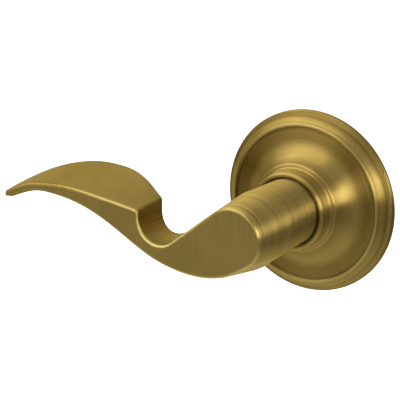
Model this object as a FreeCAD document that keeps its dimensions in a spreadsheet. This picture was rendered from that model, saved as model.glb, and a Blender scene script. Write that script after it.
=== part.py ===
import FreeCAD, Part
import math
import os
import Sketcher
from FreeCAD import Vector

# Outside half of a passage lever lockset: round rose, lever handle, and the drive and return
# mechanism behind the rose.
# Frame: +Z up, the door's outer face is the plane Y = 0, +Y goes into the door, and the origin is
# on the spindle's axis. The lever points along -X. "out" is the distance in front of the door
# face, so a point that is out by 52 mm is at Y = -52. Every length is in millimetres.

DIMENSIONS = [
    # rose, a turned shell with an ogee rim, a recessed dish and a trumpet neck
    ("rose_radius", 33.3),
    ("rose_edge_height", 0.8),
    ("rose_edge_bulge", 0.25),
    ("rose_step_radius", 32.5),
    ("rose_step_out", 1.6),
    ("rose_ovolo_radius", 31.3),
    ("rose_ovolo_out", 1.75),
    ("rose_ovolo_bulge", 0.51),
    ("rose_groove_radius", 29.5),
    ("rose_groove_out", 4.45),
    ("rose_bead_bulge", 0.78),
    ("rose_bead_foot_radius", 27.85),
    ("rose_bead_foot_out", 4.6),
    ("rose_dish_radius", 27.7),
    ("rose_dish_out", 4.4),
    ("rose_flare_radius", 23.4),
    ("rose_trumpet_hollow", 1.43),
    ("rose_collar_radius", 16.3),
    ("rose_collar_out", 9.8),
    ("rose_collar_bulge", 0.38),
    ("rose_shoulder_radius", 14.9),
    ("rose_shoulder_out", 10.9),
    ("rose_neck_radius", 14.4),
    ("rose_neck_out", 11.3),
    ("rose_neck_hollow", 0.22),
    ("rose_lip_radius", 14.1),
    ("rose_lip_back_out", 15.3),
    ("rose_lip_bulge", 0.31),
    ("rose_crown_radius", 13.25),
    ("rose_crown_out", 16.4),
    ("rose_crown_bulge", 0.21),
    ("rose_mouth_radius", 12.2),
    ("rose_mouth_out", 15.8),
    ("rose_wall", 1.2),
    ("rose_inside_radius", 23.0),
    ("rose_inside_bulge", 1.3),
    # bushing in the neck
    ("bushing_radius", 13.2),
    ("bushing_back_out", 8.4),
    ("bushing_front_out", 14.8),
    ("running_gap", 0.06),
    ("drill_margin", 0.5),
    # lever
    ("shank_radius", 11.8),
    ("shank_back_out", 7.6),
    ("shank_swell_radius", 12.19),
    ("shank_swell_out", 17.0),
    ("shank_swell_end_out", 34.8),
    ("shank_overlap", 0.6),
    ("hub_back_out", 33.0),
    ("face_out", 52.0),
    ("loft_depth", 24.0),
    ("hub_front_radius", 10.6),
    ("hub_rear_radius", 12.9),
    ("edge_rounding", 1.25),
    ("corner_rounding", 1.4),
    ("lever_bore_radius", 10.2),
    ("lever_bore_out", 30.4),
    ("release_hole_radius", 1.7),
    ("catch_out", 22.0),
    # lever insert and drive sleeve
    ("insert_back_out", 7.8),
    ("insert_front_out", 30.0),
    ("sleeve_radius", 9.5),
    ("sleeve_back_reach", 8.8),
    ("sleeve_bore_radius", 7.5),
    ("sleeve_front_out", 28.0),
    ("sleeve_web_out", 9.4),
    ("spindle_side", 8.0),
    ("spindle_gap", 0.05),
    ("spindle_chamfer", 0.8),
    ("spindle_front_out", 9.2),
    ("spindle_reach", 34.0),
    ("pin_radius", 1.1),
    ("pin_out", 6.25),
    ("pin_half_length", 9.3),
    # catch
    ("catch_radius", 1.5),
    ("catch_tip", 11.3),
    ("catch_seat", 6.95),
    ("catch_head_height", 1.5),
    ("catch_head_radius", 2.6),
    ("catch_spring_radius", 1.9),
    ("catch_wire_radius", 0.25),
    ("catch_spring_top", 6.8),
    ("catch_spring_turns", 7.0),
    # mounting plate, spring cage and cover
    ("plate_radius", 29.4),
    ("plate_thickness", 1.0),
    ("cage_radius", 24.4),
    ("cage_wall", 1.5),
    ("cage_reach", 9.0),
    ("cage_floor", 2.0),
    ("flange_radius", 27.6),
    ("flange_thickness", 0.8),
    ("cover_thickness", 0.8),
    ("screw_circle_radius", 26.0),
    ("screw_radius", 1.1),
    ("screw_head_radius", 1.55),
    ("screw_head_height", 0.45),
    # through-bolt posts
    ("post_spacing", 38.0),
    ("post_radius", 3.4),
    ("post_reach", 18.0),
    ("post_neck_radius", 2.5),
    ("post_head_thickness", 1.0),
    ("post_thread_radius", 2.1),
    ("post_thread_depth", 9.5),
    # cam, stops and return spring
    ("cam_radius", 15.0),
    ("cam_thickness", 2.0),
    ("cam_back_reach", 6.8),
    ("lug_radius", 20.4),
    ("lug_half_angle", 10.0),
    ("tab_inner_radius", 19.0),
    ("tab_outer_radius", 20.3),
    ("tab_half_width", 1.5),
    ("tab_front_out", 0.6),
    ("stop_circle_radius", 18.4),
    ("stop_radius", 1.7),
    ("stop_angle", 66.0),
    ("stop_front_reach", 4.2),
    ("anchor_circle_radius", 16.6),
    ("anchor_radius", 1.4),
    ("anchor_reach", 4.0),
    ("coil_radius", 12.5),
    ("coil_wire_radius", 0.8),
    ("coil_pitch", 1.75),
    ("coil_turns", 2.0),
    ("coil_back_reach", 3.6),
    ("leg_length", 8.6),
    ("leg_gap", 0.1),
    # washers and retaining ring on the sleeve
    ("washer_radius", 13.2),
    ("washer_thickness", 0.5),
    ("bow_washer_radius", 12.2),
    ("bow_washer_thickness", 0.3),
    ("bow_washer_rise", 0.4),
    ("ring_radius", 11.6),
    ("ring_groove_radius", 8.7),
    ("ring_thickness", 1.0),
    ("ring_gap_width", 5.0),
    ("ring_back_out", 4.0),
    ("ring_play", 0.02),
    ("stack_gap", 0.05),
    # rose clips
    ("clip_width", 6.0),
    ("clip_inner_radius", 27.7),
    ("clip_foot_radius", 28.75),
    ("clip_leg_radius", 28.3),
    ("clip_foot_out", 1.45),
    ("clip_leg_out", 2.05),
]


ALIASES = [alias for alias, value in DIMENSIONS]
TINY = 1e-6    # a volume or length too small to matter
NEAR = 0.01    # edges closer than this to a plane lie in it


# ---------------------------------------------------------------- document helpers

def named(expression):
    """Puts the sheet's name in front of every alias in an expression."""
    words = []
    word = ""
    for letter in expression + " ":
        if letter.isalnum() or letter == "_":
            word += letter
            continue
        words.append("Dims." + word if word in ALIASES else word)
        words.append(letter)
        word = ""
    return "".join(words).strip()


def make_sheet(doc):
    """The spreadsheet of driving dimensions, one aliased cell for each."""
    sheet = doc.addObject("Spreadsheet::Sheet", "Dims")
    for row, (alias, value) in enumerate(DIMENSIONS, start=1):
        sheet.set(f"A{row}", alias)
        sheet.set(f"B{row}", str(value))
        sheet.setAlias(f"B{row}", alias)
    doc.recompute()
    return sheet


class Builder:
    """Makes the sub-parts of one document and remembers them by name."""

    def __init__(self):
        self.doc = FreeCAD.newDocument("lever_lockset")
        self.sheet = make_sheet(self.doc)
        self.pieces = []

    def size(self, expression):
        """The number that an expression over the sheet's aliases stands for."""
        return float(self.sheet.evalExpression(expression))

    def keep(self, piece, label):
        """Marks a document object as a finished sub-part."""
        piece.Label = label
        self.pieces.append(piece)
        return piece

    def body(self, name):
        return self.doc.addObject("PartDesign::Body", name + "_body")

    def sketch(self, body, name, role, offset=None):
        """A sketch on one of the body's origin planes, moved out by the offset expression."""
        sketch = body.newObject("Sketcher::SketchObject", name)
        plane = [item for item in body.Origin.OriginFeatures if item.Role == role][0]
        sketch.AttachmentSupport = [(plane, "")]
        sketch.MapMode = "FlatFace"
        if offset:
            sketch.setExpression("AttachmentOffset.Base.z", named(offset))
        return sketch

    def polygon(self, sketch, points):
        """A closed polygon whose corners are pairs of expressions, each bound to the sheet."""
        corners = [Vector(self.size(u), self.size(v), 0) for u, v in points]
        count = len(corners)
        for index in range(count):
            sketch.addGeometry(Part.LineSegment(corners[index], corners[(index + 1) % count]))
        for index in range(count):
            sketch.addConstraint(Sketcher.Constraint("Coincident", index, 2, (index + 1) % count, 1))
        for index, (u, v) in enumerate(points):
            self.place(sketch, index, 1, u, v)

    def square(self, sketch, half):
        """A square about the sketch's origin, with half its side given."""
        self.polygon(sketch, [
            (f"-{half}", f"-{half}"),
            (half, f"-{half}"),
            (half, half),
            (f"-{half}", half),
        ])

    def place(self, sketch, geometry, end, u, v):
        """Binds one point of a sketch to the expressions u and v."""
        for kind, expression, axis in (("DistanceX", u, -2), ("DistanceY", v, -1)):
            number = self.size(expression)
            if abs(number) < TINY:
                sketch.addConstraint(Sketcher.Constraint("PointOnObject", geometry, end, axis))
                continue
            row = sketch.addConstraint(Sketcher.Constraint(kind, -1, 1, geometry, end, number))
            sketch.setExpression(f"Constraints[{row}]", named(expression))

    def circle(self, sketch, u, v, radius):
        """A circle with its centre and radius bound to the sheet."""
        centre = Vector(self.size(u), self.size(v), 0)
        row = sketch.addGeometry(Part.Circle(centre, Vector(0, 0, 1), self.size(radius)))
        self.place(sketch, row, 3, u, v)
        bound = sketch.addConstraint(Sketcher.Constraint("Radius", row, self.size(radius)))
        sketch.setExpression(f"Constraints[{bound}]", named(radius))

    def turned(self, name, points):
        """A body turned about the Y axis from corners given as (radius, out) expressions."""
        body = self.body(name)
        sketch = self.sketch(body, name + "_profile", "XY_Plane")
        self.polygon(sketch, [(radius, f"-({out})") for radius, out in points])
        turn = body.newObject("PartDesign::Revolution", name + "_turn")
        turn.Profile = sketch
        turn.ReferenceAxis = (sketch, ["V_Axis"])
        turn.Angle = 360
        sketch.Visibility = False
        self.doc.recompute()
        return body

    def drill(self, body, name, holes, start, depth, outward=False):
        """Round holes along Y, each (x, z, radius), from the plane at start, to the given depth."""
        sketch = self.sketch(body, name, "XZ_Plane", start)
        for x, z, radius in holes:
            self.circle(sketch, x, z, radius)
        self.pocket(body, sketch, depth, outward)

    def drill_across(self, body, name, radius, out):
        """A round hole along X, right through the body, on the spindle's height."""
        sketch = self.sketch(body, name, "YZ_Plane")
        self.circle(sketch, f"-{out}", "0", radius)
        self.pocket(body, sketch)

    def drill_up(self, body, name, radius, upper, lower):
        """A round hole in the underside at the catch, between two distances below the axis."""
        sketch = self.sketch(body, name, "XY_Plane", f"-({lower})")
        self.circle(sketch, "0", "-catch_out", radius)
        self.pocket(body, sketch, f"{lower} - ({upper})", True)

    def pad(self, body, sketch, height, taper=None):
        """Raises a sketch towards the front, widening by the taper, and stops if that adds nothing."""
        self.doc.recompute()
        before = body.Shape.Volume if body.Tip else 0
        raised = body.newObject("PartDesign::Pad", sketch.Name + "_pad")
        raised.Profile = sketch
        raised.setExpression("Length", named(height))
        if taper is not None:
            raised.setExpression("TaperAngle", named(taper))
        self.doc.recompute()
        if body.Shape.Volume <= before + TINY:
            raise RuntimeError(sketch.Name + " added nothing")
        return raised

    def pocket(self, body, sketch, depth=None, reverse=False):
        """Cuts a sketch into its body, right through if no depth is given, and stops if it cuts nothing."""
        self.doc.recompute()
        before = body.Shape.Volume
        cut = body.newObject("PartDesign::Pocket", sketch.Name + "_cut")
        cut.Profile = sketch
        if depth is None:
            cut.Type = "ThroughAll"
            cut.Midplane = True
        else:
            cut.setExpression("Length", named(depth))
            cut.Reversed = reverse
        self.doc.recompute()
        if body.Shape.Volume >= before - TINY:
            raise RuntimeError(sketch.Name + " cut nothing")
        return cut

    def cylinder(self, name, radius, height, base, axis="Y"):
        """A Part cylinder that runs towards +X, +Y or +Z from a base given as three expressions."""
        turns = {"Y": Vector(-1, 0, 0), "X": Vector(0, 1, 0), "Z": Vector(0, 0, 1)}
        angles = {"Y": 90, "X": 90, "Z": 0}
        item = self.doc.addObject("Part::Cylinder", name)
        item.setExpression("Radius", named(radius))
        item.setExpression("Height", named(height))
        item.Placement = FreeCAD.Placement(Vector(0, 0, 0), FreeCAD.Rotation(turns[axis], angles[axis]))
        self.locate(item, base)
        return item

    def box(self, name, sides, base):
        """A Part box with its three sides and its lowest corner given as expressions."""
        item = self.doc.addObject("Part::Box", name)
        for side, expression in zip(("Length", "Width", "Height"), sides):
            item.setExpression(side, named(expression))
        self.locate(item, base)
        return item

    def locate(self, item, base):
        for letter, expression in zip("xyz", base):
            item.setExpression("Placement.Base." + letter, named(expression))

    def fuse(self, name, items):
        joined = self.doc.addObject("Part::MultiFuse", name)
        joined.Shapes = items
        return joined

    def cut(self, name, base, tool):
        item = self.doc.addObject("Part::Cut", name)
        item.Base = base
        item.Tool = tool
        return item

    def group(self, name, items):
        joined = self.doc.addObject("Part::Compound", name)
        joined.Links = items
        return joined


# ---------------------------------------------------------------- the rose and its neck

def bowed(start, end, bulge):
    """An arc that bulges to the left of the way from start to end, or to the right if negative."""
    way = end - start
    left = Vector(-way.y, way.x, 0)
    left.normalize()
    return Part.Arc(start, (start + end) * 0.5 + left * bulge, end)


def make_rose(b):
    """The turned rose: an ogee rim, a beaded dish, and a trumpet neck with a rolled lip."""
    body = b.body("rose")
    sketch = b.sketch(body, "rose_profile", "XY_Plane")

    def at(radius, out):
        return Vector(b.size(radius), -b.size(out), 0)

    def run(corners):
        """Joins (point, bulge) corners: the bulge is that of the way to the corner, 0 if straight."""
        for (start, unused), (end, bulge) in zip(corners, corners[1:]):
            if bulge == "0":
                sketch.addGeometry(Part.LineSegment(start, end))
            else:
                sketch.addGeometry(bowed(start, end, b.size(bulge)))

    foot = at("rose_radius", "0")
    outside = [
        (foot, "0"),
        (at("rose_radius", "rose_edge_height"), "0"),
        (at("rose_step_radius", "rose_step_out"), "rose_edge_bulge"),
        (at("rose_ovolo_radius", "rose_ovolo_out"), "0"),
        (at("rose_groove_radius", "rose_groove_out"), "rose_ovolo_bulge"),
        (at("rose_bead_foot_radius", "rose_bead_foot_out"), "rose_bead_bulge"),
        (at("rose_dish_radius", "rose_dish_out"), "0"),
        (at("rose_flare_radius", "rose_dish_out"), "0"),
        (at("rose_collar_radius", "rose_collar_out"), "-rose_trumpet_hollow"),
        (at("rose_shoulder_radius", "rose_shoulder_out"), "rose_collar_bulge"),
        (at("rose_neck_radius", "rose_neck_out"), "0"),
        (at("rose_lip_radius", "rose_lip_back_out"), "-rose_neck_hollow"),
        (at("rose_crown_radius", "rose_crown_out"), "rose_lip_bulge"),
        (at("rose_mouth_radius", "rose_mouth_out"), "rose_crown_bulge"),
    ]
    inside = [
        (at("rose_mouth_radius", "rose_mouth_out"), "0"),
        (at("rose_mouth_radius", "bushing_front_out"), "0"),
        (at("bushing_radius", "bushing_front_out"), "0"),
        (at("bushing_radius", "bushing_back_out"), "0"),
        (at("rose_collar_radius - rose_wall", "bushing_back_out"), "0"),
        (at("rose_inside_radius", "rose_dish_out - rose_wall"), "rose_inside_bulge"),
        (at("rose_groove_radius - rose_wall", "rose_dish_out - rose_wall"), "0"),
        (at("rose_ovolo_radius - rose_wall", "rose_edge_height"), "0"),
        (at("rose_radius - rose_wall", "rose_edge_height / 2"), "0"),
        (at("rose_radius - rose_wall", "0"), "0"),
        (foot, "0"),
    ]
    run(outside)
    run(inside)
    turn = body.newObject("PartDesign::Revolution", "rose_turn")
    turn.Profile = sketch
    turn.ReferenceAxis = (sketch, ["V_Axis"])
    turn.Angle = 360
    b.keep(body, "rose")


def make_neck_bushing(b):
    body = b.turned("neck_bushing", [
        ("shank_radius + running_gap", "bushing_back_out"),
        ("bushing_radius", "bushing_back_out"),
        ("bushing_radius", "bushing_front_out"),
        ("shank_radius + running_gap", "bushing_front_out"),
    ])
    b.keep(body, "neck_bushing")


# ---------------------------------------------------------------- the lever

RIDGE_SLOPE = math.radians(38.1)    # the straight ridge runs down from the hub towards the notch
TOE_FRONT = math.radians(-58.0)     # where the hub's circle runs into the lower edge
TOE_REAR = math.radians(-54.0)
LONG_EDGE = 10.0                    # an edge that runs this far from front to back

# The wing's upper and lower edges as (x, z), from the notch and the hub to the tip, in front and
# at the back of the loft.
FRONT_TOP = [
    (-46, 4.2), (-54, 5.1), (-63, 6.1), (-71, 6.5), (-79, 6.1), (-87, 4.9), (-94, 2.4), (-103, -2.6),
]
REAR_TOP = [
    (-46, 8.9), (-54, 10.6), (-63, 11.0), (-71, 10.9), (-79, 10.0), (-87, 8.4), (-94, 6.0), (-103, 1.4),
]
FRONT_LOW = [
    (-0.5, -12.7), (-8, -15.25), (-16.5, -16.0), (-25, -15.05), (-33, -12.9), (-41, -9.3),
    (-50, -4.8), (-59, -1.1), (-68, 1.2), (-78, 2.3), (-86, 1.7), (-94, -1.2), (-103, -6.3),
]
REAR_LOW = [
    (3.4, -14.1), (-2.6, -17.9), (-9, -19.6), (-16.5, -19.4), (-25, -17.4), (-33, -13.6),
    (-41, -8.2), (-50, -1.7), (-59, 3.3), (-68, 5.9), (-78, 6.2), (-86, 4.7), (-94, 2.1), (-103, -2.7),
]
NOTCH_FRONT = (-29.8, 0.8)
NOTCH_REAR = (-32.5, -1.7)
CORNER_FRONT = 3.2
CORNER_REAR = 4.5

PLAN_MARGIN = 60.0    # how far the cut behind the lever reaches past it
SHARP_BEND = 15.0     # the degrees between two faces from which their edge is rounded

# The back of the lever seen from above, as (x, out), from the hub round the leaf to the tip.
BACK_EDGE = [
    (-12, 33.0), (-20, 34.4), (-29, 36.4), (-37.5, 36.7), (-44, 34.2), (-50, 31.6), (-57, 29.5),
    (-65, 28.6), (-72, 28.7), (-79, 29.8), (-86, 32.7), (-92, 36.8), (-97, 41.7), (-100.2, 46.0),
    (-101.0, 49.0), (-99.2, 51.3), (-95.5, 52.0),
]


def spline(points, first=None, last=None):
    """A smooth curve through points, with a given direction at either end."""
    curve = Part.BSplineCurve()
    if first is None:
        curve.interpolate(Points=points)
    else:
        curve.interpolate(Points=points, InitialTangent=first, FinalTangent=last)
    return curve


def lever_outline(sketch, hub_radius, notch_centre, corner_z, toe_angle, top, low):
    """The lever's closed outline seen from the front: hub, ridge, notch and wing."""
    normal = Vector(-math.sin(RIDGE_SLOPE), math.cos(RIDGE_SLOPE), 0)
    centre = Vector(notch_centre[0], notch_centre[1], 0)
    notch_radius = centre.dot(normal) - hub_radius
    crest = normal * hub_radius
    dip = centre - normal * notch_radius
    wall_foot = centre + Vector(-notch_radius, 0, 0)
    corner = Vector(wall_foot.x, corner_z, 0)
    belly = centre + Vector(-math.sin(RIDGE_SLOPE), -math.cos(RIDGE_SLOPE), 0) * notch_radius
    toe = Vector(math.cos(toe_angle), math.sin(toe_angle), 0) * hub_radius
    toe_way = Vector(math.sin(toe_angle), -math.cos(toe_angle), 0)
    top_points = [corner] + [Vector(x, z, 0) for x, z in top]
    low_points = [toe] + [Vector(x, z, 0) for x, z in low]
    end_way = low_points[-1] - low_points[-2]
    curves = [
        Part.LineSegment(crest, dip),
        Part.Arc(dip, belly, wall_foot),
        Part.LineSegment(wall_foot, corner),
        spline(top_points),
        Part.LineSegment(top_points[-1], low_points[-1]),
        spline(low_points, toe_way, end_way),
        Part.Arc(toe, Vector(hub_radius, 0, 0), crest),
    ]
    for curve in curves:
        sketch.addGeometry(curve)


def lever_back_cut(sketch, far):
    """What is cut away behind the lever: everything past its back edge and round its tip."""
    edge = [Vector(x, -out, 0) for x, out in BACK_EDGE]
    start = edge[0]
    end = edge[-1]
    side = Vector(far, start.y, 0)
    corners = [
        end,
        Vector(end.x, -far, 0),
        Vector(-2 * far, -far, 0),
        Vector(-2 * far, 0, 0),
        Vector(far, 0, 0),
        side,
    ]
    sketch.addGeometry(Part.LineSegment(side, start))
    sketch.addGeometry(spline(edge, Vector(-1, 0, 0), Vector(1, 0, 0)))
    for first, second in zip(corners, corners[1:]):
        sketch.addGeometry(Part.LineSegment(first, second))


def sharp_edges(shape, chosen):
    """Names of the edges that are sharp and that chosen(middle, edge) accepts."""
    names = []
    for number, edge in enumerate(shape.Edges, start=1):
        faces = shape.ancestorsOfType(edge, Part.Face)
        if len(faces) != 2:
            continue
        middle = edge.valueAt((edge.FirstParameter + edge.LastParameter) / 2)
        normals = []
        for face in faces:
            u, v = face.Surface.parameter(middle)
            normals.append(face.normalAt(u, v))
        bend = math.degrees(normals[0].getAngle(normals[1]))
        if bend > SHARP_BEND and chosen(middle, edge):
            names.append(f"Edge{number}")
    return names


def make_lever(b):
    """The cast lever: a teardrop hub and a leaf-shaped wing, with a bored round shank."""
    body = b.body("lever")
    front = b.sketch(body, "lever_front", "XZ_Plane", "face_out")
    lever_outline(
        front, b.size("hub_front_radius"), NOTCH_FRONT, CORNER_FRONT, TOE_FRONT, FRONT_TOP, FRONT_LOW
    )
    rear = b.sketch(body, "lever_rear", "XZ_Plane", "face_out - loft_depth")
    lever_outline(
        rear, b.size("hub_rear_radius"), NOTCH_REAR, CORNER_REAR, TOE_REAR, REAR_TOP, REAR_LOW
    )
    loft = body.newObject("PartDesign::AdditiveLoft", "lever_loft")
    loft.Profile = front
    loft.Sections = [rear]
    loft.Ruled = True
    plan = b.sketch(body, "lever_leaf", "XY_Plane")
    lever_back_cut(plan, PLAN_MARGIN)
    leaf = b.pocket(body, plan)

    def notch_corner(middle, edge):
        front_end, rear_end = edge.Vertexes[0].Point, edge.Vertexes[-1].Point
        straight = edge.Length < front_end.distanceToPoint(rear_end) + NEAR
        return straight and middle.z > 0 and abs(front_end.y - rear_end.y) > LONG_EDGE

    corner = body.newObject("PartDesign::Fillet", "lever_corner")
    corner.Base = (leaf, sharp_edges(leaf.Shape, notch_corner))
    corner.setExpression("Radius", "Dims.corner_rounding")
    b.doc.recompute()
    hub_back_y = -b.size("hub_back_out")

    def rim(middle, edge):
        return abs(middle.y - hub_back_y) > NEAR

    rounding = body.newObject("PartDesign::Fillet", "lever_rounding")
    rounding.Base = (corner, sharp_edges(corner.Shape, rim))
    rounding.setExpression("Radius", "Dims.edge_rounding")
    b.doc.recompute()
    if not leaf.Shape.Volume > corner.Shape.Volume > rounding.Shape.Volume > 0:
        raise RuntimeError("the lever's edges were not rounded")

    shank = b.sketch(body, "shank", "XZ_Plane", "shank_back_out")
    b.circle(shank, "0", "0", "shank_radius")
    b.pad(body, shank, "hub_back_out - shank_back_out + shank_overlap")
    swell = b.sketch(body, "shank_swell", "XZ_Plane", "shank_swell_out")
    b.circle(swell, "0", "0", "shank_radius")
    b.pad(body, swell, "shank_swell_end_out - shank_swell_out",
          "atan((shank_swell_radius - shank_radius) / (shank_swell_end_out - shank_swell_out))")
    b.drill(body, "lever_bore", [("0", "0", "lever_bore_radius")], "shank_back_out",
            "lever_bore_out - shank_back_out", outward=True)
    b.drill_up(body, "release_hole", "release_hole_radius",
               "lever_bore_radius - drill_margin", "shank_radius + drill_margin")
    b.keep(body, "lever")


def make_lever_insert(b):
    """The steel tube pressed into the lever's bore, which slides over the drive sleeve."""
    body = b.turned("lever_insert", [
        ("sleeve_radius + spindle_gap", "insert_back_out"),
        ("lever_bore_radius", "insert_back_out"),
        ("lever_bore_radius", "insert_front_out"),
        ("sleeve_radius + spindle_gap", "insert_front_out"),
    ])
    b.drill_up(body, "insert_hole", "release_hole_radius",
               "sleeve_radius - drill_margin", "lever_bore_radius + drill_margin")
    b.keep(body, "lever_insert")


# ---------------------------------------------------------------- sleeve, spindle and catch

def make_drive_sleeve(b):
    """The turned sleeve that carries the lever in front and the cam behind the door face."""
    body = b.turned("drive_sleeve", [
        ("0", "-sleeve_back_reach"),
        ("sleeve_radius", "-sleeve_back_reach"),
        ("sleeve_radius", "ring_back_out"),
        ("ring_groove_radius", "ring_back_out"),
        ("ring_groove_radius", "ring_back_out + ring_thickness"),
        ("sleeve_radius", "ring_back_out + ring_thickness"),
        ("sleeve_radius", "sleeve_front_out"),
        ("sleeve_bore_radius", "sleeve_front_out"),
        ("sleeve_bore_radius", "sleeve_web_out"),
        ("0", "sleeve_web_out"),
    ])
    square = b.sketch(body, "spindle_hole", "XZ_Plane", "sleeve_web_out")
    b.square(square, "(spindle_side / 2 + spindle_gap)")
    b.pocket(body, square, "sleeve_web_out + sleeve_back_reach")
    b.drill_up(body, "catch_hole", "catch_radius + running_gap",
               "sleeve_bore_radius - drill_margin", "sleeve_radius + drill_margin")
    b.drill_across(body, "pin_hole", "pin_radius", "pin_out")
    b.keep(body, "drive_sleeve")


def make_spindle(b):
    """The square spindle that reaches through the latch, with a chamfered end."""
    body = b.body("spindle")
    end = b.sketch(body, "spindle_bar", "XZ_Plane", "-spindle_reach")
    b.square(end, "(spindle_side / 2)")
    bar = b.pad(body, end, "spindle_reach + spindle_front_out")
    reach = b.size("spindle_reach")
    tip_edges = [
        f"Edge{number}" for number, edge in enumerate(bar.Shape.Edges, start=1)
        if edge.BoundBox.YMin > reach - TINY
    ]
    chamfer = body.newObject("PartDesign::Chamfer", "spindle_tip")
    chamfer.Base = (bar, tip_edges)
    chamfer.setExpression("Size", "Dims.spindle_chamfer")
    b.doc.recompute()
    b.drill_across(body, "spindle_pin_hole", "pin_radius", "pin_out")
    b.keep(body, "spindle")


def make_spindle_pin(b):
    end = ("-pin_half_length", "-pin_out", "0")
    pin = b.cylinder("spindle_pin_bar", "pin_radius", "2 * pin_half_length", end, "X")
    b.keep(pin, "spindle_pin")


def make_lever_catch(b):
    """The sprung catch that holds the lever on the sleeve, pushed in through the release hole."""
    tip = ("0", "-catch_out", "-catch_tip")
    seat = ("0", "-catch_out", "-catch_seat")
    stem = b.cylinder("catch_stem", "catch_radius", "catch_tip - catch_seat", tip, "Z")
    head = b.cylinder("catch_head", "catch_head_radius", "catch_head_height", seat, "Z")
    b.keep(b.fuse("catch_joined", [stem, head]), "lever_catch")


def coil(b, name, radius, wire, pitch, height, placement):
    """A round wire wound on a helix about the placement's own Z axis."""
    path = b.doc.addObject("Part::Helix", name + "_path")
    path.setExpression("Radius", named(radius))
    path.setExpression("Pitch", named(pitch))
    path.setExpression("Height", named(height))
    section = b.doc.addObject("Part::Circle", name + "_section")
    section.setExpression("Radius", named(wire))
    start = FreeCAD.Placement(Vector(b.size(radius), 0, 0), FreeCAD.Rotation(Vector(1, 0, 0), 90))
    section.Placement = start
    b.doc.recompute()
    wound = b.doc.addObject("Part::Sweep", name + "_wire")
    wound.Sections = [section]
    wound.Spine = (path, ["Edge1"])
    wound.Solid = True
    wound.Frenet = True
    wound.Placement = placement
    b.doc.recompute()
    return wound


def make_catch_spring(b):
    """The small compression spring between the catch's head and the far side of the sleeve."""
    bottom = b.size("catch_head_height - catch_seat + catch_wire_radius")
    place = FreeCAD.Placement(Vector(0, -b.size("catch_out"), bottom), FreeCAD.Rotation())
    height = "catch_spring_top + catch_seat - catch_head_height - 2 * catch_wire_radius"
    wound = coil(b, "catch_spring", "catch_spring_radius", "catch_wire_radius",
                 f"({height}) / catch_spring_turns", height, place)
    b.keep(wound, "catch_spring")


# ---------------------------------------------------------------- what is fixed to the door

def ring_points(radius, angles):
    """Expressions for points on a circle about the spindle's axis, angles in degrees from +X."""
    return [(f"{radius} * cos({angle})", f"{radius} * sin({angle})") for angle in angles]


SCREW_ANGLES = (45, 135, 225, 315)
CLIP_ANGLES = (0, 120, 240)


def make_mounting_plate(b):
    body = b.turned("mounting_plate", [
        ("cage_radius + running_gap", "0"),
        ("plate_radius", "0"),
        ("plate_radius", "plate_thickness"),
        ("cage_radius + running_gap", "plate_thickness"),
    ])
    holes = [(x, z, "screw_radius") for x, z in ring_points("screw_circle_radius", SCREW_ANGLES)]
    b.drill(body, "plate_holes", holes, "plate_thickness", "plate_thickness")
    b.keep(body, "mounting_plate")


def make_spring_cage(b):
    """The cup that sits in the door's bore and holds the posts, the stops, the cam and its spring."""
    rim = "plate_thickness + flange_thickness"
    body = b.turned("spring_cage", [
        ("sleeve_radius + running_gap", "-cage_reach"),
        ("cage_radius", "-cage_reach"),
        ("cage_radius", "plate_thickness"),
        ("flange_radius", "plate_thickness"),
        ("flange_radius", rim),
        ("cage_radius - cage_wall", rim),
        ("cage_radius - cage_wall", "cage_floor - cage_reach"),
        ("sleeve_radius + running_gap", "cage_floor - cage_reach"),
    ])
    screws = [(x, z, "screw_radius") for x, z in ring_points("screw_circle_radius", SCREW_ANGLES)]
    b.drill(body, "flange_holes", screws, rim, "flange_thickness")
    posts = [("0", "post_spacing / 2", "post_neck_radius"), ("0", "-post_spacing / 2", "post_neck_radius")]
    stops = [(x, z, "stop_radius") for x, z in stop_points()]
    b.drill(body, "floor_holes", posts + stops, "cage_floor - cage_reach", "cage_floor")
    b.keep(body, "spring_cage")


def make_cage_cover(b):
    back = "plate_thickness + flange_thickness"
    front = back + " + cover_thickness"
    body = b.turned("cage_cover", [
        ("sleeve_radius + running_gap", back),
        ("flange_radius", back),
        ("flange_radius", front),
        ("sleeve_radius + running_gap", front),
    ])
    screws = [(x, z, "screw_radius") for x, z in ring_points("screw_circle_radius", SCREW_ANGLES)]
    anchor = [("-anchor_circle_radius", "0", "anchor_radius")]
    b.drill(body, "cover_holes", screws + anchor, front, "cover_thickness")
    b.keep(body, "cage_cover")


def make_cover_screws(b):
    """Four wafer-head screws through the cover, the cage's flange and the plate."""
    face = "plate_thickness + flange_thickness + cover_thickness"
    screws = []
    for number, (x, z) in enumerate(ring_points("screw_circle_radius", SCREW_ANGLES), start=1):
        stem = b.cylinder(f"screw_stem_{number}", "screw_radius", face, (x, f"-({face})", z))
        top = f"-({face}) - screw_head_height"
        head = b.cylinder(f"screw_head_{number}", "screw_head_radius", "screw_head_height", (x, top, z))
        screws.append(b.fuse(f"screw_{number}", [stem, head]))
    b.keep(b.group("cover_screw_group", screws), "cover_screws")


def make_mounting_post(b, label, side):
    """A tapped post staked into the cage's floor: side is + above the spindle, - below it."""
    inner = "cage_reach - cage_floor"
    body = b.turned(label, [
        ("0", f"-({inner} - post_head_thickness)"),
        ("post_radius", f"-({inner} - post_head_thickness)"),
        ("post_radius", f"-({inner})"),
        ("post_neck_radius", f"-({inner})"),
        ("post_neck_radius", "-cage_reach"),
        ("post_radius", "-cage_reach"),
        ("post_radius", "-post_reach"),
        ("post_thread_radius", "-post_reach"),
        ("post_thread_radius", "-(post_reach - post_thread_depth)"),
        ("0", "-(post_reach - post_thread_depth)"),
    ])
    body.setExpression("Placement.Base.z", named(f"{side}post_spacing / 2"))
    b.keep(body, label)


def stop_points():
    return [
        ("-stop_circle_radius * cos(stop_angle)", "stop_circle_radius * sin(stop_angle)"),
        ("-stop_circle_radius * cos(stop_angle)", "-stop_circle_radius * sin(stop_angle)"),
    ]


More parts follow.
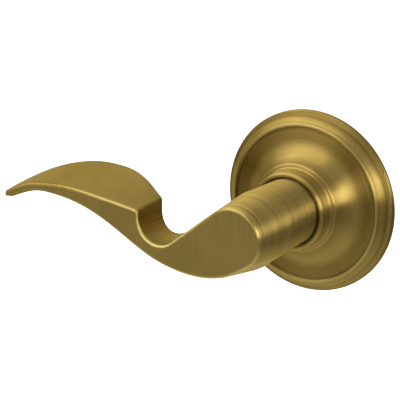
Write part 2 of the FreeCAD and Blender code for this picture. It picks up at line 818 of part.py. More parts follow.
def make_stop_pins(b):
    """Two pins pressed into the cage's floor, which the cam's lug meets at either limit."""
    pins = []
    for number, (x, z) in enumerate(stop_points(), start=1):
        base = (x, "stop_front_reach", z)
        pins.append(b.cylinder(f"stop_pin_{number}", "stop_radius", "cage_reach - stop_front_reach", base))
    b.keep(b.group("stop_pin_group", pins), "stop_pins")


def make_spring_anchor(b):
    """The pin, riveted to the cover, that the return spring's legs straddle."""
    face = "plate_thickness + flange_thickness + cover_thickness"
    base = ("-anchor_circle_radius", f"-({face})", "0")
    pin = b.cylinder("anchor_pin", "anchor_radius", f"anchor_reach + {face}", base)
    b.keep(pin, "spring_anchor")


def make_return_spring(b):
    """The torsion spring: coils round the sleeve, and two legs either side of the cam's tab."""
    leg_z = b.size("tab_half_width + coil_wire_radius + leg_gap")
    lead = math.degrees(math.asin(leg_z / b.size("coil_radius")))
    turns = b.size("coil_turns") + 2 * lead / 360
    height = f"coil_pitch * {turns:.6f}"
    turn = FreeCAD.Rotation(Vector(1, 0, 0), 90) * FreeCAD.Rotation(Vector(0, 0, 1), 180 - lead)
    place = FreeCAD.Placement(Vector(0, b.size("coil_back_reach"), 0), turn)
    wound = coil(b, "return_spring", "coil_radius", "coil_wire_radius", "coil_pitch", height, place)
    pieces = [wound]
    foot = b.size("coil_radius") * math.cos(math.radians(lead))
    ends = (("low", 1, "coil_back_reach"), ("high", -1, f"coil_back_reach - {height}"))
    for name, side, reach in ends:
        base = (f"{-foot:.5f} - leg_length", reach, f"{side * leg_z:.5f}")
        pieces.append(b.cylinder("spring_leg_" + name, "coil_wire_radius", "leg_length", base, "X"))
        elbow = b.doc.addObject("Part::Sphere", "spring_elbow_" + name)
        elbow.setExpression("Radius", "Dims.coil_wire_radius")
        b.locate(elbow, (f"{-foot:.5f}", reach, f"{side * leg_z:.5f}"))
        pieces.append(elbow)
    b.keep(b.fuse("return_spring_joined", pieces), "return_spring")


def make_rose_clips(b):
    """Three small steel clips round the plate, which hold the rose."""
    clips = []
    for number, angle in enumerate(CLIP_ANGLES, start=1):
        foot = b.box(
            f"clip_foot_{number}",
            ("clip_width", "clip_foot_out - plate_thickness", "clip_foot_radius - clip_inner_radius"),
            ("-clip_width / 2", "-clip_foot_out", "clip_inner_radius"),
        )
        leg = b.box(
            f"clip_leg_{number}",
            ("clip_width", "clip_leg_out - clip_foot_out", "clip_foot_radius - clip_leg_radius"),
            ("-clip_width / 2", "-clip_leg_out", "clip_leg_radius"),
        )
        clip = b.fuse(f"clip_{number}", [foot, leg])
        clip.Placement = FreeCAD.Placement(Vector(0, 0, 0), FreeCAD.Rotation(Vector(0, 1, 0), angle))
        clips.append(clip)
    b.keep(b.group("clip_group", clips), "rose_clips")


# ---------------------------------------------------------------- what turns on the sleeve

def make_cam(b):
    """The plate staked to the sleeve: its lug meets the stops, and its tab drives the spring."""
    body = b.body("cam")
    outline = b.sketch(body, "cam_outline", "XZ_Plane", "-cam_back_reach")
    inner = b.size("cam_radius")
    outer = b.size("lug_radius")
    half = math.radians(b.size("lug_half_angle"))

    def polar(radius, angle):
        return Vector(radius * math.cos(angle), radius * math.sin(angle), 0)

    upper = math.pi - half
    lower = math.pi + half
    outline.addGeometry(Part.Arc(polar(inner, lower), Vector(inner, 0, 0), polar(inner, upper)))
    outline.addGeometry(Part.LineSegment(polar(inner, upper), polar(outer, upper)))
    outline.addGeometry(Part.Arc(polar(outer, upper), Vector(-outer, 0, 0), polar(outer, lower)))
    outline.addGeometry(Part.LineSegment(polar(outer, lower), polar(inner, lower)))
    b.circle(outline, "0", "0", "sleeve_radius")
    b.pad(body, outline, "cam_thickness")
    tab = b.sketch(body, "cam_tab", "XZ_Plane", "cam_thickness - cam_back_reach")
    b.polygon(tab, [
        ("-tab_outer_radius", "-tab_half_width"),
        ("-tab_inner_radius", "-tab_half_width"),
        ("-tab_inner_radius", "tab_half_width"),
        ("-tab_outer_radius", "tab_half_width"),
    ])
    b.pad(body, tab, "cam_back_reach - cam_thickness + tab_front_out")
    b.keep(body, "cam")


def make_thrust_washer(b):
    back = "plate_thickness + flange_thickness + cover_thickness + stack_gap"
    body = b.turned("thrust_washer", [
        ("sleeve_radius + running_gap", back),
        ("washer_radius", back),
        ("washer_radius", back + " + washer_thickness"),
        ("sleeve_radius + running_gap", back + " + washer_thickness"),
    ])
    b.keep(body, "thrust_washer")


def make_bow_washer(b):
    """A ring bent about a line along Z, which keeps end play out of the sleeve."""
    back = "plate_thickness + flange_thickness + cover_thickness + washer_thickness + 2 * stack_gap"
    bend = "bow_washer_radius * bow_washer_radius / (2 * bow_washer_rise)"
    length = "2 * (bow_washer_radius + drill_margin)"
    blank = b.turned("bow_washer_blank", [
        ("sleeve_radius + running_gap", back),
        ("bow_washer_radius", back),
        ("bow_washer_radius", "ring_back_out - ring_play"),
        ("sleeve_radius + running_gap", "ring_back_out - ring_play"),
    ])
    centre = ("0", f"-({back}) - bow_washer_thickness - ({bend})", "-bow_washer_radius - drill_margin")
    outer = b.cylinder("bow_outer", f"{bend} + bow_washer_thickness", length, centre, "Z")
    inner = b.cylinder("bow_inner", bend, length, centre, "Z")
    strip = b.cut("bow_strip", outer, inner)
    bent = b.doc.addObject("Part::Common", "bow_washer_bent")
    bent.Base = blank
    bent.Tool = strip
    b.doc.recompute()
    b.keep(bent, "bow_washer")


def make_retaining_ring(b):
    """The open ring in the sleeve's groove that holds the sleeve in the cage."""
    body = b.turned("retaining_ring", [
        ("ring_groove_radius", "ring_back_out"),
        ("ring_radius", "ring_back_out"),
        ("ring_radius", "ring_back_out + ring_thickness"),
        ("ring_groove_radius", "ring_back_out + ring_thickness"),
    ])
    slot = b.sketch(body, "ring_slot", "XZ_Plane", "ring_back_out + ring_thickness")
    half = "ring_gap_width / 2"
    b.polygon(slot, [
        (f"-{half}", "ring_groove_radius - drill_margin"),
        (half, "ring_groove_radius - drill_margin"),
        (half, "ring_radius + drill_margin"),
        (f"-{half}", "ring_radius + drill_margin"),
    ])
    b.pocket(body, slot, "ring_thickness")
    b.keep(body, "retaining_ring")


# ---------------------------------------------------------------- the whole part

def check(b):
    """Stops if any object failed, or any sub-part is empty, broken or invalid."""
    for item in b.doc.Objects:
        if "Invalid" in item.State or "Error" in item.State:
            raise RuntimeError(f"{item.Name} failed: {item.State}")
    for piece in b.pieces:
        shape = piece.Shape
        if shape.isNull() or not shape.isValid() or not shape.Solids:
            raise RuntimeError(piece.Label + " has no valid solid")


def main():
    b = Builder()
    make_rose(b)
    make_neck_bushing(b)
    make_lever(b)
    make_lever_insert(b)
    make_drive_sleeve(b)
    make_spindle(b)
    make_spindle_pin(b)
    make_lever_catch(b)
    make_catch_spring(b)
    make_mounting_plate(b)
    make_spring_cage(b)
    make_cage_cover(b)
    make_cover_screws(b)
    make_mounting_post(b, "mounting_post_upper", "")
    make_mounting_post(b, "mounting_post_lower", "-")
    make_stop_pins(b)
    make_spring_anchor(b)
    make_return_spring(b)
    make_rose_clips(b)
    make_cam(b)
    make_thrust_washer(b)
    make_bow_washer(b)
    make_retaining_ring(b)
    b.doc.recompute()
    check(b)
    os.makedirs("parts", exist_ok=True)
    for piece in b.pieces:
        piece.Shape.exportStep(f"parts/{piece.Label}.step")
        print(f"{piece.Label}: {len(piece.Shape.Solids)} solid, {piece.Shape.Volume:.1f} mm3")


main()
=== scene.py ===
import math
import bpy
from mathutils import Matrix, Vector


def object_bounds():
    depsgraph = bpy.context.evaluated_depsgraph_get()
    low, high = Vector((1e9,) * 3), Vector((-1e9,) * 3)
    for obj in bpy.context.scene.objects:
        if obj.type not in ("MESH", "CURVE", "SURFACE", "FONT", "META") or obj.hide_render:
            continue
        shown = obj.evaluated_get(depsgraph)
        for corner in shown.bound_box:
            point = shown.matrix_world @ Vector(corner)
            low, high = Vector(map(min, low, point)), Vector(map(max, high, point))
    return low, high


# The looks of the lever lockset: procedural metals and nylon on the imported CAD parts, a soft
# studio, a plain pale floor and the camera. Everything is in metres in the row frame.

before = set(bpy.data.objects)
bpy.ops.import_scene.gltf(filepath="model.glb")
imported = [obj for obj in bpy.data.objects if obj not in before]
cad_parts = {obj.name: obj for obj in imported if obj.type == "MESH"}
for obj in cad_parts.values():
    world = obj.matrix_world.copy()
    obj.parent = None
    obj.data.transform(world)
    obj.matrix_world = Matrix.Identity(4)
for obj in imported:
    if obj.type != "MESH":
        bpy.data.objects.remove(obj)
cad_low, cad_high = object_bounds()
MM = 0.001


# ---------------------------------------------------------------- node helper

# the Mix node's sockets: where its two colours or vectors start, and where the mixed one comes out
MIX_COLOURS = 6
MIX_VECTORS = 4
MIXED_COLOUR = 2
MIXED_VECTOR = 1


class Nodes:
    """Builds one node tree, one node a call."""

    def __init__(self, tree):
        self.tree = tree
        self.tree.nodes.clear()

    def add(self, kind, inputs=None, **settings):
        """A node of that kind; inputs are numbers, colours or other nodes' outputs."""
        node = self.tree.nodes.new(kind)
        for name, value in settings.items():
            setattr(node, name, value)
        for key, value in (inputs or {}).items():
            self.put(node.inputs[key], value)
        return node

    def put(self, socket, value):
        """Links a socket to another node's output, or sets it to a number, vector or colour."""
        if isinstance(value, bpy.types.NodeSocket):
            self.tree.links.new(value, socket)
        else:
            socket.default_value = value

    def maths(self, operation, *values, clamp=False):
        """One sum on numbers or other nodes' outputs."""
        inputs = dict(enumerate(values))
        return self.add("ShaderNodeMath", inputs, operation=operation, use_clamp=clamp).outputs[0]

    def vector(self, operation, *values):
        """One sum on vectors."""
        inputs = dict(enumerate(values))
        return self.add("ShaderNodeVectorMath", inputs, operation=operation).outputs[0]

    def ramp(self, value, low, high, to_low=0.0, to_high=1.0):
        """A value that runs from to_low to to_high as the input runs from low to high."""
        inputs = {0: value, 1: low, 2: high, 3: to_low, 4: to_high}
        return self.add("ShaderNodeMapRange", inputs, interpolation_type="SMOOTHSTEP").outputs[0]

    def spread(self, noise, to_low, to_high):
        """A noise, which seldom leaves 0.3 to 0.7, spread from to_low to to_high."""
        return self.ramp(noise, 0.3, 0.7, to_low, to_high)

    def mix(self, share, first, second):
        """The first colour where share is 0 and the second where it is 1."""
        inputs = {0: share, MIX_COLOURS: first, MIX_COLOURS + 1: second}
        return self.add("ShaderNodeMix", inputs, data_type="RGBA").outputs[MIXED_COLOUR]

    def mix_vector(self, share, first, second):
        """The first vector where share is 0 and the second where it is 1."""
        inputs = {0: share, MIX_VECTORS: first, MIX_VECTORS + 1: second}
        return self.add("ShaderNodeMix", inputs, data_type="VECTOR").outputs[MIXED_VECTOR]

    def place(self):
        """The point on the part, in its own frame, in metres."""
        return self.add("ShaderNodeTexCoord").outputs["Object"]

    def parts_of(self, vector):
        """The x, y and z of a vector."""
        node = self.add("ShaderNodeSeparateXYZ", {0: vector})
        return node.outputs[0], node.outputs[1], node.outputs[2]

    def joined(self, x, y, z):
        """A vector from its x, y and z."""
        return self.add("ShaderNodeCombineXYZ", {0: x, 1: y, 2: z}).outputs[0]

    def noise(self, where, scale, detail, roughness=0.5):
        """A soft noise about 0.5, with scale features per metre."""
        inputs = {"Vector": where, "Scale": scale, "Detail": detail, "Roughness": roughness}
        return self.add("ShaderNodeTexNoise", inputs).outputs["Fac"]

    def bump(self, height, depth, strength):
        """A normal for a height that runs from 0 to 1 over depth metres."""
        inputs = {"Height": height, "Distance": depth, "Strength": strength}
        return self.add("ShaderNodeBump", inputs).outputs[0]

    def radius(self, x, z):
        """The distance from the spindle's axis."""
        square = self.maths("ADD", self.maths("MULTIPLY", x, x), self.maths("MULTIPLY", z, z))
        return self.maths("SQRT", square)

    def circle(self, x, z):
        """The direction that goes round the spindle's axis."""
        outward = self.joined(x, 0.0, z)
        return self.vector("NORMALIZE", self.vector("CROSS_PRODUCT", (0, 1, 0), outward))

    def surface(self, **inputs):
        """The material's one surface shader."""
        shader = self.add("ShaderNodeBsdfPrincipled", inputs)
        self.add("ShaderNodeOutputMaterial", {"Surface": shader.outputs[0]})


def new_material(name):
    """A material and the helper that builds its nodes."""
    material = bpy.data.materials.new(name)
    material.use_nodes = True
    return material, Nodes(material.node_tree)


# ---------------------------------------------------------------- antique brass

BRASS = (0.326, 0.2265, 0.0615, 1)
BRASS_DARK = (0.207, 0.136, 0.031, 1)
# lighter brass, for light streaks and for wear and painted highlights
BRASS_LIGHT = (0.415, 0.330, 0.108, 1)
BRASS_EDGE = (0.71, 0.655, 0.43, 1)     # its reflection at a grazing angle
STREAKS = 2200.0               # brush lines per metre across the brushing
BANDS = 900.0                  # wider bands of lighter and darker brushing
ALONG = 0.016                  # how slowly both change along the brushing
CLOUDS = 55.0                  # soft clouds of patina per metre
RECESS_PATINA_AND_SHADE = 0.75           # the most that recesses add to the patina and painted shade, and that clouds add to the patina
CLOUD_PATINA = 0.18
BRUSH_ROUGHNESS = (0.33, 0.43)     # of the darkest and the lightest streaks
CLOUD_ROUGHNESS = 0.03             # the most that clouds add to it
GLOSS_SPREAD = 0.95            # how much more the gloss spreads one way than the other
QUARTER_TURN = 0.25            # and that way's turn from the brushing's direction
FINE_GRAIN = 0.01 * MM         # height of grain, brush lines and lathe rings

# the rose: radii where its patina and painted shade, wear and painted highlight start, top and
# end, and how strong its finish is
DISH_START = 20.5 * MM
DISH_FULL = 25.0 * MM
BEAD_INNER = 27.6 * MM
BEAD_TOP = 28.5 * MM
BEAD_OUTER = 29.5 * MM
OVOLO_START = 29.8 * MM
RIM_START = 32.4 * MM
RIM_FULL = 33.0 * MM
RING_PATINA_AND_SHADE = 0.85
OVOLO_DARKENING = 0.25
BEAD_WEAR_AND_HIGHLIGHT = 0.9
ROSE_STREAKS = 0.30
ROSE_BANDS = 0.10
ROSE_RECESS = 6 * MM

# the lever: its tip is at x -101 mm and its front face at y -52 mm
HUB_START = -22 * MM           # in x: brushing turns from across the wing to round the hub
HUB_FULL = -12 * MM
EDGE_BACK = -50.5 * MM         # in y: the rounding of the front edge starts, and is full
EDGE_FRONT = -50.9 * MM
EDGE_DARK_START = -52 * MM     # in x: the edge's wear and painted highlight turn to a painted dark reflection, towards the tip
EDGE_DARK_FULL = -76 * MM
EDGE_WEAR_AND_HIGHLIGHT_TOP = 5 * MM         # in z: its wear and painted highlight are least above, and full below the next
EDGE_WEAR_AND_HIGHLIGHT_FOOT = -7 * MM
EDGE_LEAST_WEAR_AND_HIGHLIGHT = 0.3
EDGE_DARK_REFLECTION = 0.9
LEVER_STREAKS = 0.45
WING_BANDS = 0.15
HUB_BANDS = 0.5
LEVER_RECESS = 4 * MM


def brushed_brass(
    n, lines, direction, streaks_depth, bands_depth, recess_reach, patina_and_shade, wear_and_highlight
):
    """Antique brass: fine streaks and wider bands along its brush lines, darkened in its recesses
    by patina and painted shade.

    direction is the way the brush lines run, and lines is the place squeezed that way. Patina and
    painted shade darken the brass, and wear and painted highlights lighten it.
    """
    streaks = n.noise(lines, STREAKS, 2.0)
    bands = n.noise(lines, BANDS, 1.0)
    cloud = n.noise(n.place(), CLOUDS, 4.0, 0.6)
    openness = n.add(
        "ShaderNodeAmbientOcclusion", {"Distance": recess_reach}, samples=8
    ).outputs["AO"]
    # painted shade: darker where ambient occlusion finds a recess, partly patina in the hollows
    # and partly painted shade
    aged_and_shaded = n.ramp(openness, 0.15, 0.75, RECESS_PATINA_AND_SHADE, 0.0)
    aged_and_shaded = n.maths("ADD", aged_and_shaded, n.ramp(cloud, 0.35, 0.75, 0.0, CLOUD_PATINA))
    aged_and_shaded = n.maths("ADD", aged_and_shaded, patina_and_shade, clamp=True)
    colour = n.mix(aged_and_shaded, BRASS, BRASS_DARK)
    for pattern, depth in ((streaks, streaks_depth), (bands, bands_depth)):
        colour = n.mix(n.ramp(pattern, 0.50, 0.75, 0.0, depth), colour, BRASS_LIGHT)
        colour = n.mix(n.ramp(pattern, 0.50, 0.25, 0.0, depth), colour, BRASS_DARK)
    # lighter where worn, and where a painted highlight is laid
    colour = n.mix(wear_and_highlight, colour, BRASS_LIGHT)
    roughness = n.maths(
        "ADD", n.spread(streaks, *BRUSH_ROUGHNESS), n.spread(cloud, 0.0, CLOUD_ROUGHNESS)
    )
    n.surface(**{
        "Base Color": colour,
        "Metallic": 1.0,
        "Specular Tint": BRASS_EDGE,
        "Roughness": roughness,
        "Anisotropic": GLOSS_SPREAD,
        "Anisotropic Rotation": QUARTER_TURN,
        "Tangent": direction,
        "Normal": n.bump(streaks, FINE_GRAIN, 0.5),
    })


def rose_brass():
    """The rose is turned: circles for brush lines, patina and painted shade darkening the dish, a
    painted dark outline on the rim, and wear and a painted highlight on the bead.
    """
    material, n = new_material("satin_brass")
    x, y, z = n.parts_of(n.place())
    radius = n.radius(x, z)
    lines = n.joined(n.maths("MULTIPLY_ADD", x, ALONG, radius), y, n.maths("MULTIPLY", z, ALONG))
    inside = n.ramp(radius, DISH_START, DISH_FULL)
    outside = n.ramp(radius, BEAD_INNER, BEAD_TOP)
    # the dish ring is darker, partly patina and partly painted shade
    ring = n.maths("MULTIPLY", inside, n.maths("SUBTRACT", 1.0, outside))
    bead = n.maths("MULTIPLY", outside, n.ramp(radius, BEAD_OUTER, BEAD_TOP))
    # painted shade: the rim's outer rounding is darker, a painted dark outline
    edge = n.ramp(radius, RIM_START, RIM_FULL)
    # the brass past the bead is a little darker
    ovolo = n.maths("MULTIPLY", n.ramp(radius, BEAD_TOP, OVOLO_START), OVOLO_DARKENING)
    patina_and_shade = n.maths("MULTIPLY_ADD", n.maths("ADD", ring, edge), RING_PATINA_AND_SHADE, ovolo)
    # the bead's top is lighter, partly wear and partly a painted highlight
    wear_and_highlight = n.maths("MULTIPLY", bead, BEAD_WEAR_AND_HIGHLIGHT)
    brushed_brass(
        n, lines, n.circle(x, z), ROSE_STREAKS, ROSE_BANDS, ROSE_RECESS, patina_and_shade, wear_and_highlight
    )
    return material


def lever_edge(n, x, y, z, turning):
    """Painted reflection and wear on the rounding round the lever's front face: a painted dark
    reflection towards the tip, and wear with a painted highlight elsewhere.

    turning is 1 where the surface faces forwards and 0 where it faces sideways.
    """
    rounded = n.maths("MULTIPLY", n.ramp(turning, 0.98, 0.90), n.ramp(turning, 0.10, 0.35))
    rounded = n.maths("MULTIPLY", rounded, n.ramp(y, EDGE_BACK, EDGE_FRONT))
    outer = n.ramp(x, EDGE_DARK_START, EDGE_DARK_FULL)
    lower = n.ramp(z, EDGE_WEAR_AND_HIGHLIGHT_TOP, EDGE_WEAR_AND_HIGHLIGHT_FOOT, EDGE_LEAST_WEAR_AND_HIGHLIGHT, 1.0)
    # painted reflection: the rounding darkens towards the tip
    patina_and_shade = n.maths("MULTIPLY", n.maths("MULTIPLY", rounded, outer), EDGE_DARK_REFLECTION)
    # wear and painted highlight: the rounding lightens elsewhere, least high up
    worn_and_highlit = n.maths("MULTIPLY", n.maths("SUBTRACT", 1.0, outer), lower)
    return patina_and_shade, n.maths("MULTIPLY", rounded, worn_and_highlit)


def lever_brass():
    """The lever: brushed up and down in front, round the hub and shank, and across the wing."""
    material, n = new_material("satin_brass_cast")
    x, y, z = n.parts_of(n.place())
    front = n.joined(x, 0.0, n.maths("MULTIPLY", z, ALONG))
    around = n.joined(n.maths("MULTIPLY", x, ALONG), y, n.maths("MULTIPLY", z, ALONG))
    across = n.joined(x, n.maths("MULTIPLY", y, ALONG), z)
    normal = n.parts_of(n.add("ShaderNodeNewGeometry").outputs["Normal"])
    turning = n.maths("ABSOLUTE", normal[1])
    facing = n.ramp(turning, 0.80, 0.95)
    hub = n.ramp(x, HUB_START, HUB_FULL)
    lines = n.mix_vector(facing, n.mix_vector(hub, across, around), front)
    hub_side = n.maths("MULTIPLY", hub, n.maths("SUBTRACT", 1.0, facing))
    bands_depth = n.ramp(hub_side, 0.0, 1.0, WING_BANDS, HUB_BANDS)
    side = n.mix_vector(hub, (0, 1, 0), n.circle(x, z))
    own = n.mix_vector(facing, side, (0, 0, 1))
    turned = n.add(
        "ShaderNodeVectorTransform", {0: own},
        vector_type="VECTOR", convert_from="OBJECT", convert_to="WORLD",
    ).outputs[0]
    # painted reflection, wear and painted highlight on the front edge's rounding
    patina_and_shade, wear_and_highlight = lever_edge(n, x, y, z, turning)
    brushed_brass(
        n, lines, turned, LEVER_STREAKS, bands_depth, LEVER_RECESS, patina_and_shade, wear_and_highlight
    )
    return material


# ---------------------------------------------------------------- plainer metals and nylon

STEEL = (0.50, 0.50, 0.50, 1)
STEEL_DULL = (0.33, 0.32, 0.31, 1)
ZINC = (0.58, 0.60, 0.63, 1)
ZINC_DULL = (0.36, 0.36, 0.37, 1)
ZINC_YELLOW = (0.55, 0.53, 0.42, 1)
WASHER_BRASS = (0.62, 0.45, 0.15, 1)
WASHER_DULL = (0.40, 0.27, 0.09, 1)
CASTING = (0.46, 0.46, 0.45, 1)
CASTING_DULL = (0.30, 0.30, 0.31, 1)
WIRE = (0.19, 0.185, 0.18, 1)
WIRE_OILY = (0.12, 0.10, 0.08, 1)
BAR = (0.52, 0.53, 0.54, 1)
BAR_DULL = (0.42, 0.40, 0.34, 1)
NYLON = (0.012, 0.012, 0.013, 1)
NYLON_PALE = (0.024, 0.024, 0.026, 1)
MOULDED_GRAIN = 0.02 * MM
CAST_GRAIN = 0.03 * MM
BAR_ALONG = 0.02       # how slowly the spindle's drawn lines change along it


def black_nylon():
    """Moulded nylon: an etched grain and faint paler patches."""
    material, n = new_material("black_nylon")
    grain = n.noise(n.place(), 2600.0, 3.0)
    patch = n.noise(n.place(), 160.0, 3.0)
    n.surface(**{
        "Base Color": n.mix(patch, NYLON, NYLON_PALE),
        "Roughness": n.spread(grain, 0.42, 0.58),
        "Normal": n.bump(grain, MOULDED_GRAIN, 0.4),
    })
    return material


def plated_sheet(name, bright, dull, tint, grain_scale):
    """Plated or plain sheet metal: fine grain, faint tinted clouds and small dull scuffs."""
    material, n = new_material(name)
    grain = n.noise(n.place(), grain_scale, 3.0)
    cloud = n.noise(n.place(), 70.0, 3.0, 0.6)
    scuffs = n.noise(n.place(), 420.0, 6.0, 0.75)
    colour = n.mix(n.ramp(cloud, 0.35, 0.7), bright, tint)
    colour = n.mix(n.ramp(scuffs, 0.58, 0.8, 0.0, 0.7), colour, dull)
    roughness = n.maths(
        "ADD", n.spread(grain, 0.24, 0.36), n.ramp(scuffs, 0.55, 0.8, 0.0, 0.15)
    )
    n.surface(**{
        "Base Color": colour,
        "Metallic": 1.0,
        "Roughness": roughness,
        "Normal": n.bump(grain, FINE_GRAIN, 0.4),
    })
    return material


def lathe_steel():
    """Steel turned about the spindle's axis: fine lathe rings along Y, and a trace of oil."""
    material, n = new_material("turned_steel")
    x, y, z = n.parts_of(n.place())
    rings = n.noise(n.joined(n.radius(x, z), y, 0.0), 3200.0, 2.0)
    oil = n.noise(n.place(), 110.0, 4.0, 0.6)
    roughness = n.maths("ADD", n.spread(rings, 0.2, 0.34), n.ramp(oil, 0.4, 0.7, 0.0, 0.1))
    n.surface(**{
        "Base Color": n.mix(n.ramp(oil, 0.4, 0.75), STEEL, STEEL_DULL),
        "Metallic": 1.0,
        "Roughness": roughness,
        "Anisotropic": 0.4,
        "Normal": n.bump(rings, FINE_GRAIN, 0.6),
    })
    return material


def cast_zinc():
    """The cage's casting: a frosted grain and darker flow marks."""
    material, n = new_material("cast_zinc")
    frost = n.noise(n.place(), 1900.0, 5.0, 0.65)
    flow = n.noise(n.place(), 90.0, 5.0, 0.65)
    n.surface(**{
        "Base Color": n.mix(n.ramp(flow, 0.35, 0.75), CASTING, CASTING_DULL),
        "Metallic": 1.0,
        "Roughness": n.spread(frost, 0.42, 0.6),
        "Normal": n.bump(frost, CAST_GRAIN, 0.6),
    })
    return material


def spring_steel():
    """Drawn wire and pressed spring parts: dark, with a brown oil film."""
    material, n = new_material("spring_steel")
    drawn = n.noise(n.place(), 1500.0, 3.0)
    film = n.noise(n.place(), 180.0, 4.0, 0.6)
    n.surface(**{
        "Base Color": n.mix(n.ramp(film, 0.35, 0.7), WIRE, WIRE_OILY),
        "Metallic": 1.0,
        "Roughness": n.spread(drawn, 0.26, 0.42),
        "Normal": n.bump(drawn, FINE_GRAIN, 0.5),
    })
    return material


def drawn_spindle():
    """The square spindle: zinc over cold-drawn bar, with lines along its length."""
    material, n = new_material("spindle_steel")
    x, y, z = n.parts_of(n.place())
    drawn = n.noise(n.joined(x, n.maths("MULTIPLY", y, BAR_ALONG), z), 2600.0, 2.0)
    cloud = n.noise(n.place(), 120.0, 3.0, 0.6)
    n.surface(**{
        "Base Color": n.mix(n.ramp(cloud, 0.35, 0.7), BAR, BAR_DULL),
        "Metallic": 1.0,
        "Roughness": n.spread(drawn, 0.24, 0.4),
        "Normal": n.bump(drawn, FINE_GRAIN, 0.7),
    })
    return material


def dress():
    """Puts every slot's material on the nodes that use it."""
    made = {
        "satin_brass": rose_brass(),
        "satin_brass_cast": lever_brass(),
        "black_nylon": black_nylon(),
        "zinc_plated_steel": plated_sheet(
            "zinc_plated_steel", ZINC, ZINC_DULL, ZINC_YELLOW, 1700.0
        ),
        "zinc_plated_screw": plated_sheet(
            "zinc_plated_screw", ZINC, ZINC_DULL, ZINC_YELLOW, 3000.0
        ),
        "cast_zinc": cast_zinc(),
        "spring_steel": spring_steel(),
        "turned_steel": lathe_steel(),
        "spindle_steel": drawn_spindle(),
        "yellow_brass": plated_sheet(
            "yellow_brass", WASHER_BRASS, WASHER_DULL, WASHER_DULL, 1500.0
        ),
    }
    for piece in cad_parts.values():
        materials = piece.data.materials
        slot = materials[0].name.split(".")[0]
        materials.clear()
        materials.append(made[slot])


# ---------------------------------------------------------------- the studio

FLOOR_DROP = 0.25      # the part hangs on its door, so the floor is well below it
FLOOR_HALF = 12.0
FLOOR_PALE = (0.9, 0.9, 0.9, 1)
FLOOR_GLOW = 0.6
WHITE = (1, 1, 1, 1)
LAMP_DISTANCE = 0.80
MIDDLE = (cad_low + cad_high) / 2

# the room's brightness
LOWER_WALL = (0.38, 0.76)      # at the right and at the left
UPPER_WALL = (0.42, 0.95)
CEILING_EXTRA = 0.30
FLOOR_EXTRA = 0.45
BEHIND_EXTRA = (0.22, 0.60)    # behind on the left: high up and low down


def direction(azimuth, elevation):
    """A unit vector: azimuth 0 is in front of the door, 90 to its right; elevation is upwards."""
    a, e = math.radians(azimuth), math.radians(elevation)
    return Vector((math.sin(a) * math.cos(e), -math.cos(a) * math.cos(e), math.sin(e)))


def softbox(name, azimuth, elevation, width, height, power):
    """A rectangular soft light that faces the middle of the part."""
    lamp = bpy.data.lights.new(name, "AREA")
    lamp.shape = "RECTANGLE"
    lamp.size = width
    lamp.size_y = height
    lamp.energy = power
    holder = bpy.data.objects.new(name, lamp)
    out = direction(azimuth, elevation)
    holder.location = MIDDLE + out * LAMP_DISTANCE
    holder.rotation_euler = out.to_track_quat("Z", "Y").to_euler()
    bpy.context.scene.collection.objects.link(holder)


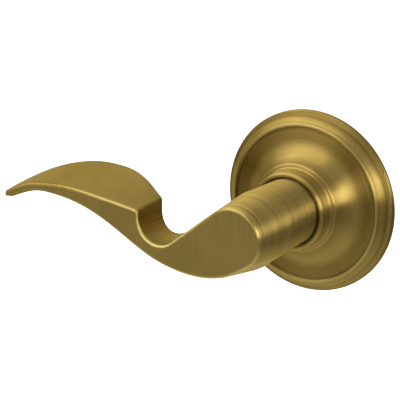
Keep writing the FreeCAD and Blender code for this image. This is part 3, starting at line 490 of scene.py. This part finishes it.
def make_world():
    """A soft room, lighter on its left, above, below and behind; the camera sees it as white."""
    world = bpy.data.worlds.new("room")
    bpy.context.scene.world = world
    world.use_nodes = True
    n = Nodes(world.node_tree)
    x, y, z = n.parts_of(n.add("ShaderNodeTexCoord").outputs["Generated"])
    left = n.ramp(n.maths("MULTIPLY_ADD", y, 0.3, x), 0.6, -0.6)
    behind_left = n.ramp(n.maths("SUBTRACT", y, x), 0.3, 1.2)
    lower = n.ramp(left, 0.0, 1.0, *LOWER_WALL)
    upper = n.ramp(left, 0.0, 1.0, *UPPER_WALL)
    wall = n.maths("MULTIPLY_ADD", n.maths("SUBTRACT", upper, lower), n.ramp(z, -0.1, 0.2), lower)
    glow = n.maths("ADD", wall, n.ramp(z, 0.2, 0.75, 0.0, CEILING_EXTRA))
    glow = n.maths("MULTIPLY_ADD", behind_left, n.ramp(z, 0.25, -0.15, *BEHIND_EXTRA), glow)
    glow = n.maths("ADD", glow, n.ramp(z, -0.40, -0.85, 0.0, FLOOR_EXTRA))
    seen = n.add("ShaderNodeLightPath").outputs["Is Camera Ray"]
    grey = n.joined(glow, glow, glow)
    sky = n.add("ShaderNodeBackground", {0: n.mix(seen, grey, WHITE), 1: 1.0})
    n.add("ShaderNodeOutputWorld", {"Surface": sky.outputs[0]})


def make_floor():
    """A plain pale floor, which gloss doesn't reflect."""
    mesh = bpy.data.meshes.new("floor")
    z = cad_low.z - FLOOR_DROP
    corners = [(-1, -1), (1, -1), (1, 1), (-1, 1)]
    points = [(x * FLOOR_HALF, y * FLOOR_HALF, z) for x, y in corners]
    mesh.from_pydata(points, [], [(0, 1, 2, 3)])
    floor = bpy.data.objects.new("floor", mesh)
    bpy.context.scene.collection.objects.link(floor)
    material, n = new_material("pale_floor")
    n.surface(**{
        "Base Color": FLOOR_PALE,
        "Roughness": 0.9,
        "Emission Color": WHITE,
        "Emission Strength": FLOOR_GLOW,
    })
    mesh.materials.append(material)
    floor.visible_glossy = False


def make_lights():
    """A high key light on the left and a low side light on the right."""
    softbox("key", azimuth=-45, elevation=44, width=1.20, height=0.66, power=5.2)
    softbox("side", azimuth=60, elevation=14, width=0.95, height=0.32, power=4.8)


# ---------------------------------------------------------------- the camera

CAMERA_LENS = 108.0            # millimetres, as is the sensor
CAMERA_SENSOR = 36.0
CAMERA_AZIMUTH = 34.07
CAMERA_ELEVATION = 17.18
CAMERA_DISTANCE = 0.42946
CAMERA_AIM_LEFT = 0.03926      # the picture's middle is this far left of the spindle's axis
CAMERA_AIM_UP = 0.00023


def make_camera():
    """Looks at the part from in front, above and to the right."""
    lens = bpy.data.cameras.new("camera")
    lens.lens = CAMERA_LENS
    lens.sensor_width = CAMERA_SENSOR
    camera = bpy.data.objects.new("camera", lens)
    back = direction(CAMERA_AZIMUTH, CAMERA_ELEVATION)
    right = Vector((0, 0, 1)).cross(back).normalized()
    up = back.cross(right)
    camera.location = back * CAMERA_DISTANCE - right * CAMERA_AIM_LEFT + up * CAMERA_AIM_UP
    camera.rotation_euler = Matrix((right, up, back)).transposed().to_euler()
    bpy.context.scene.collection.objects.link(camera)
    bpy.context.scene.camera = camera


dress()
make_world()
make_floor()
make_lights()
make_camera()
bpy.context.scene.view_settings.view_transform = "Standard"
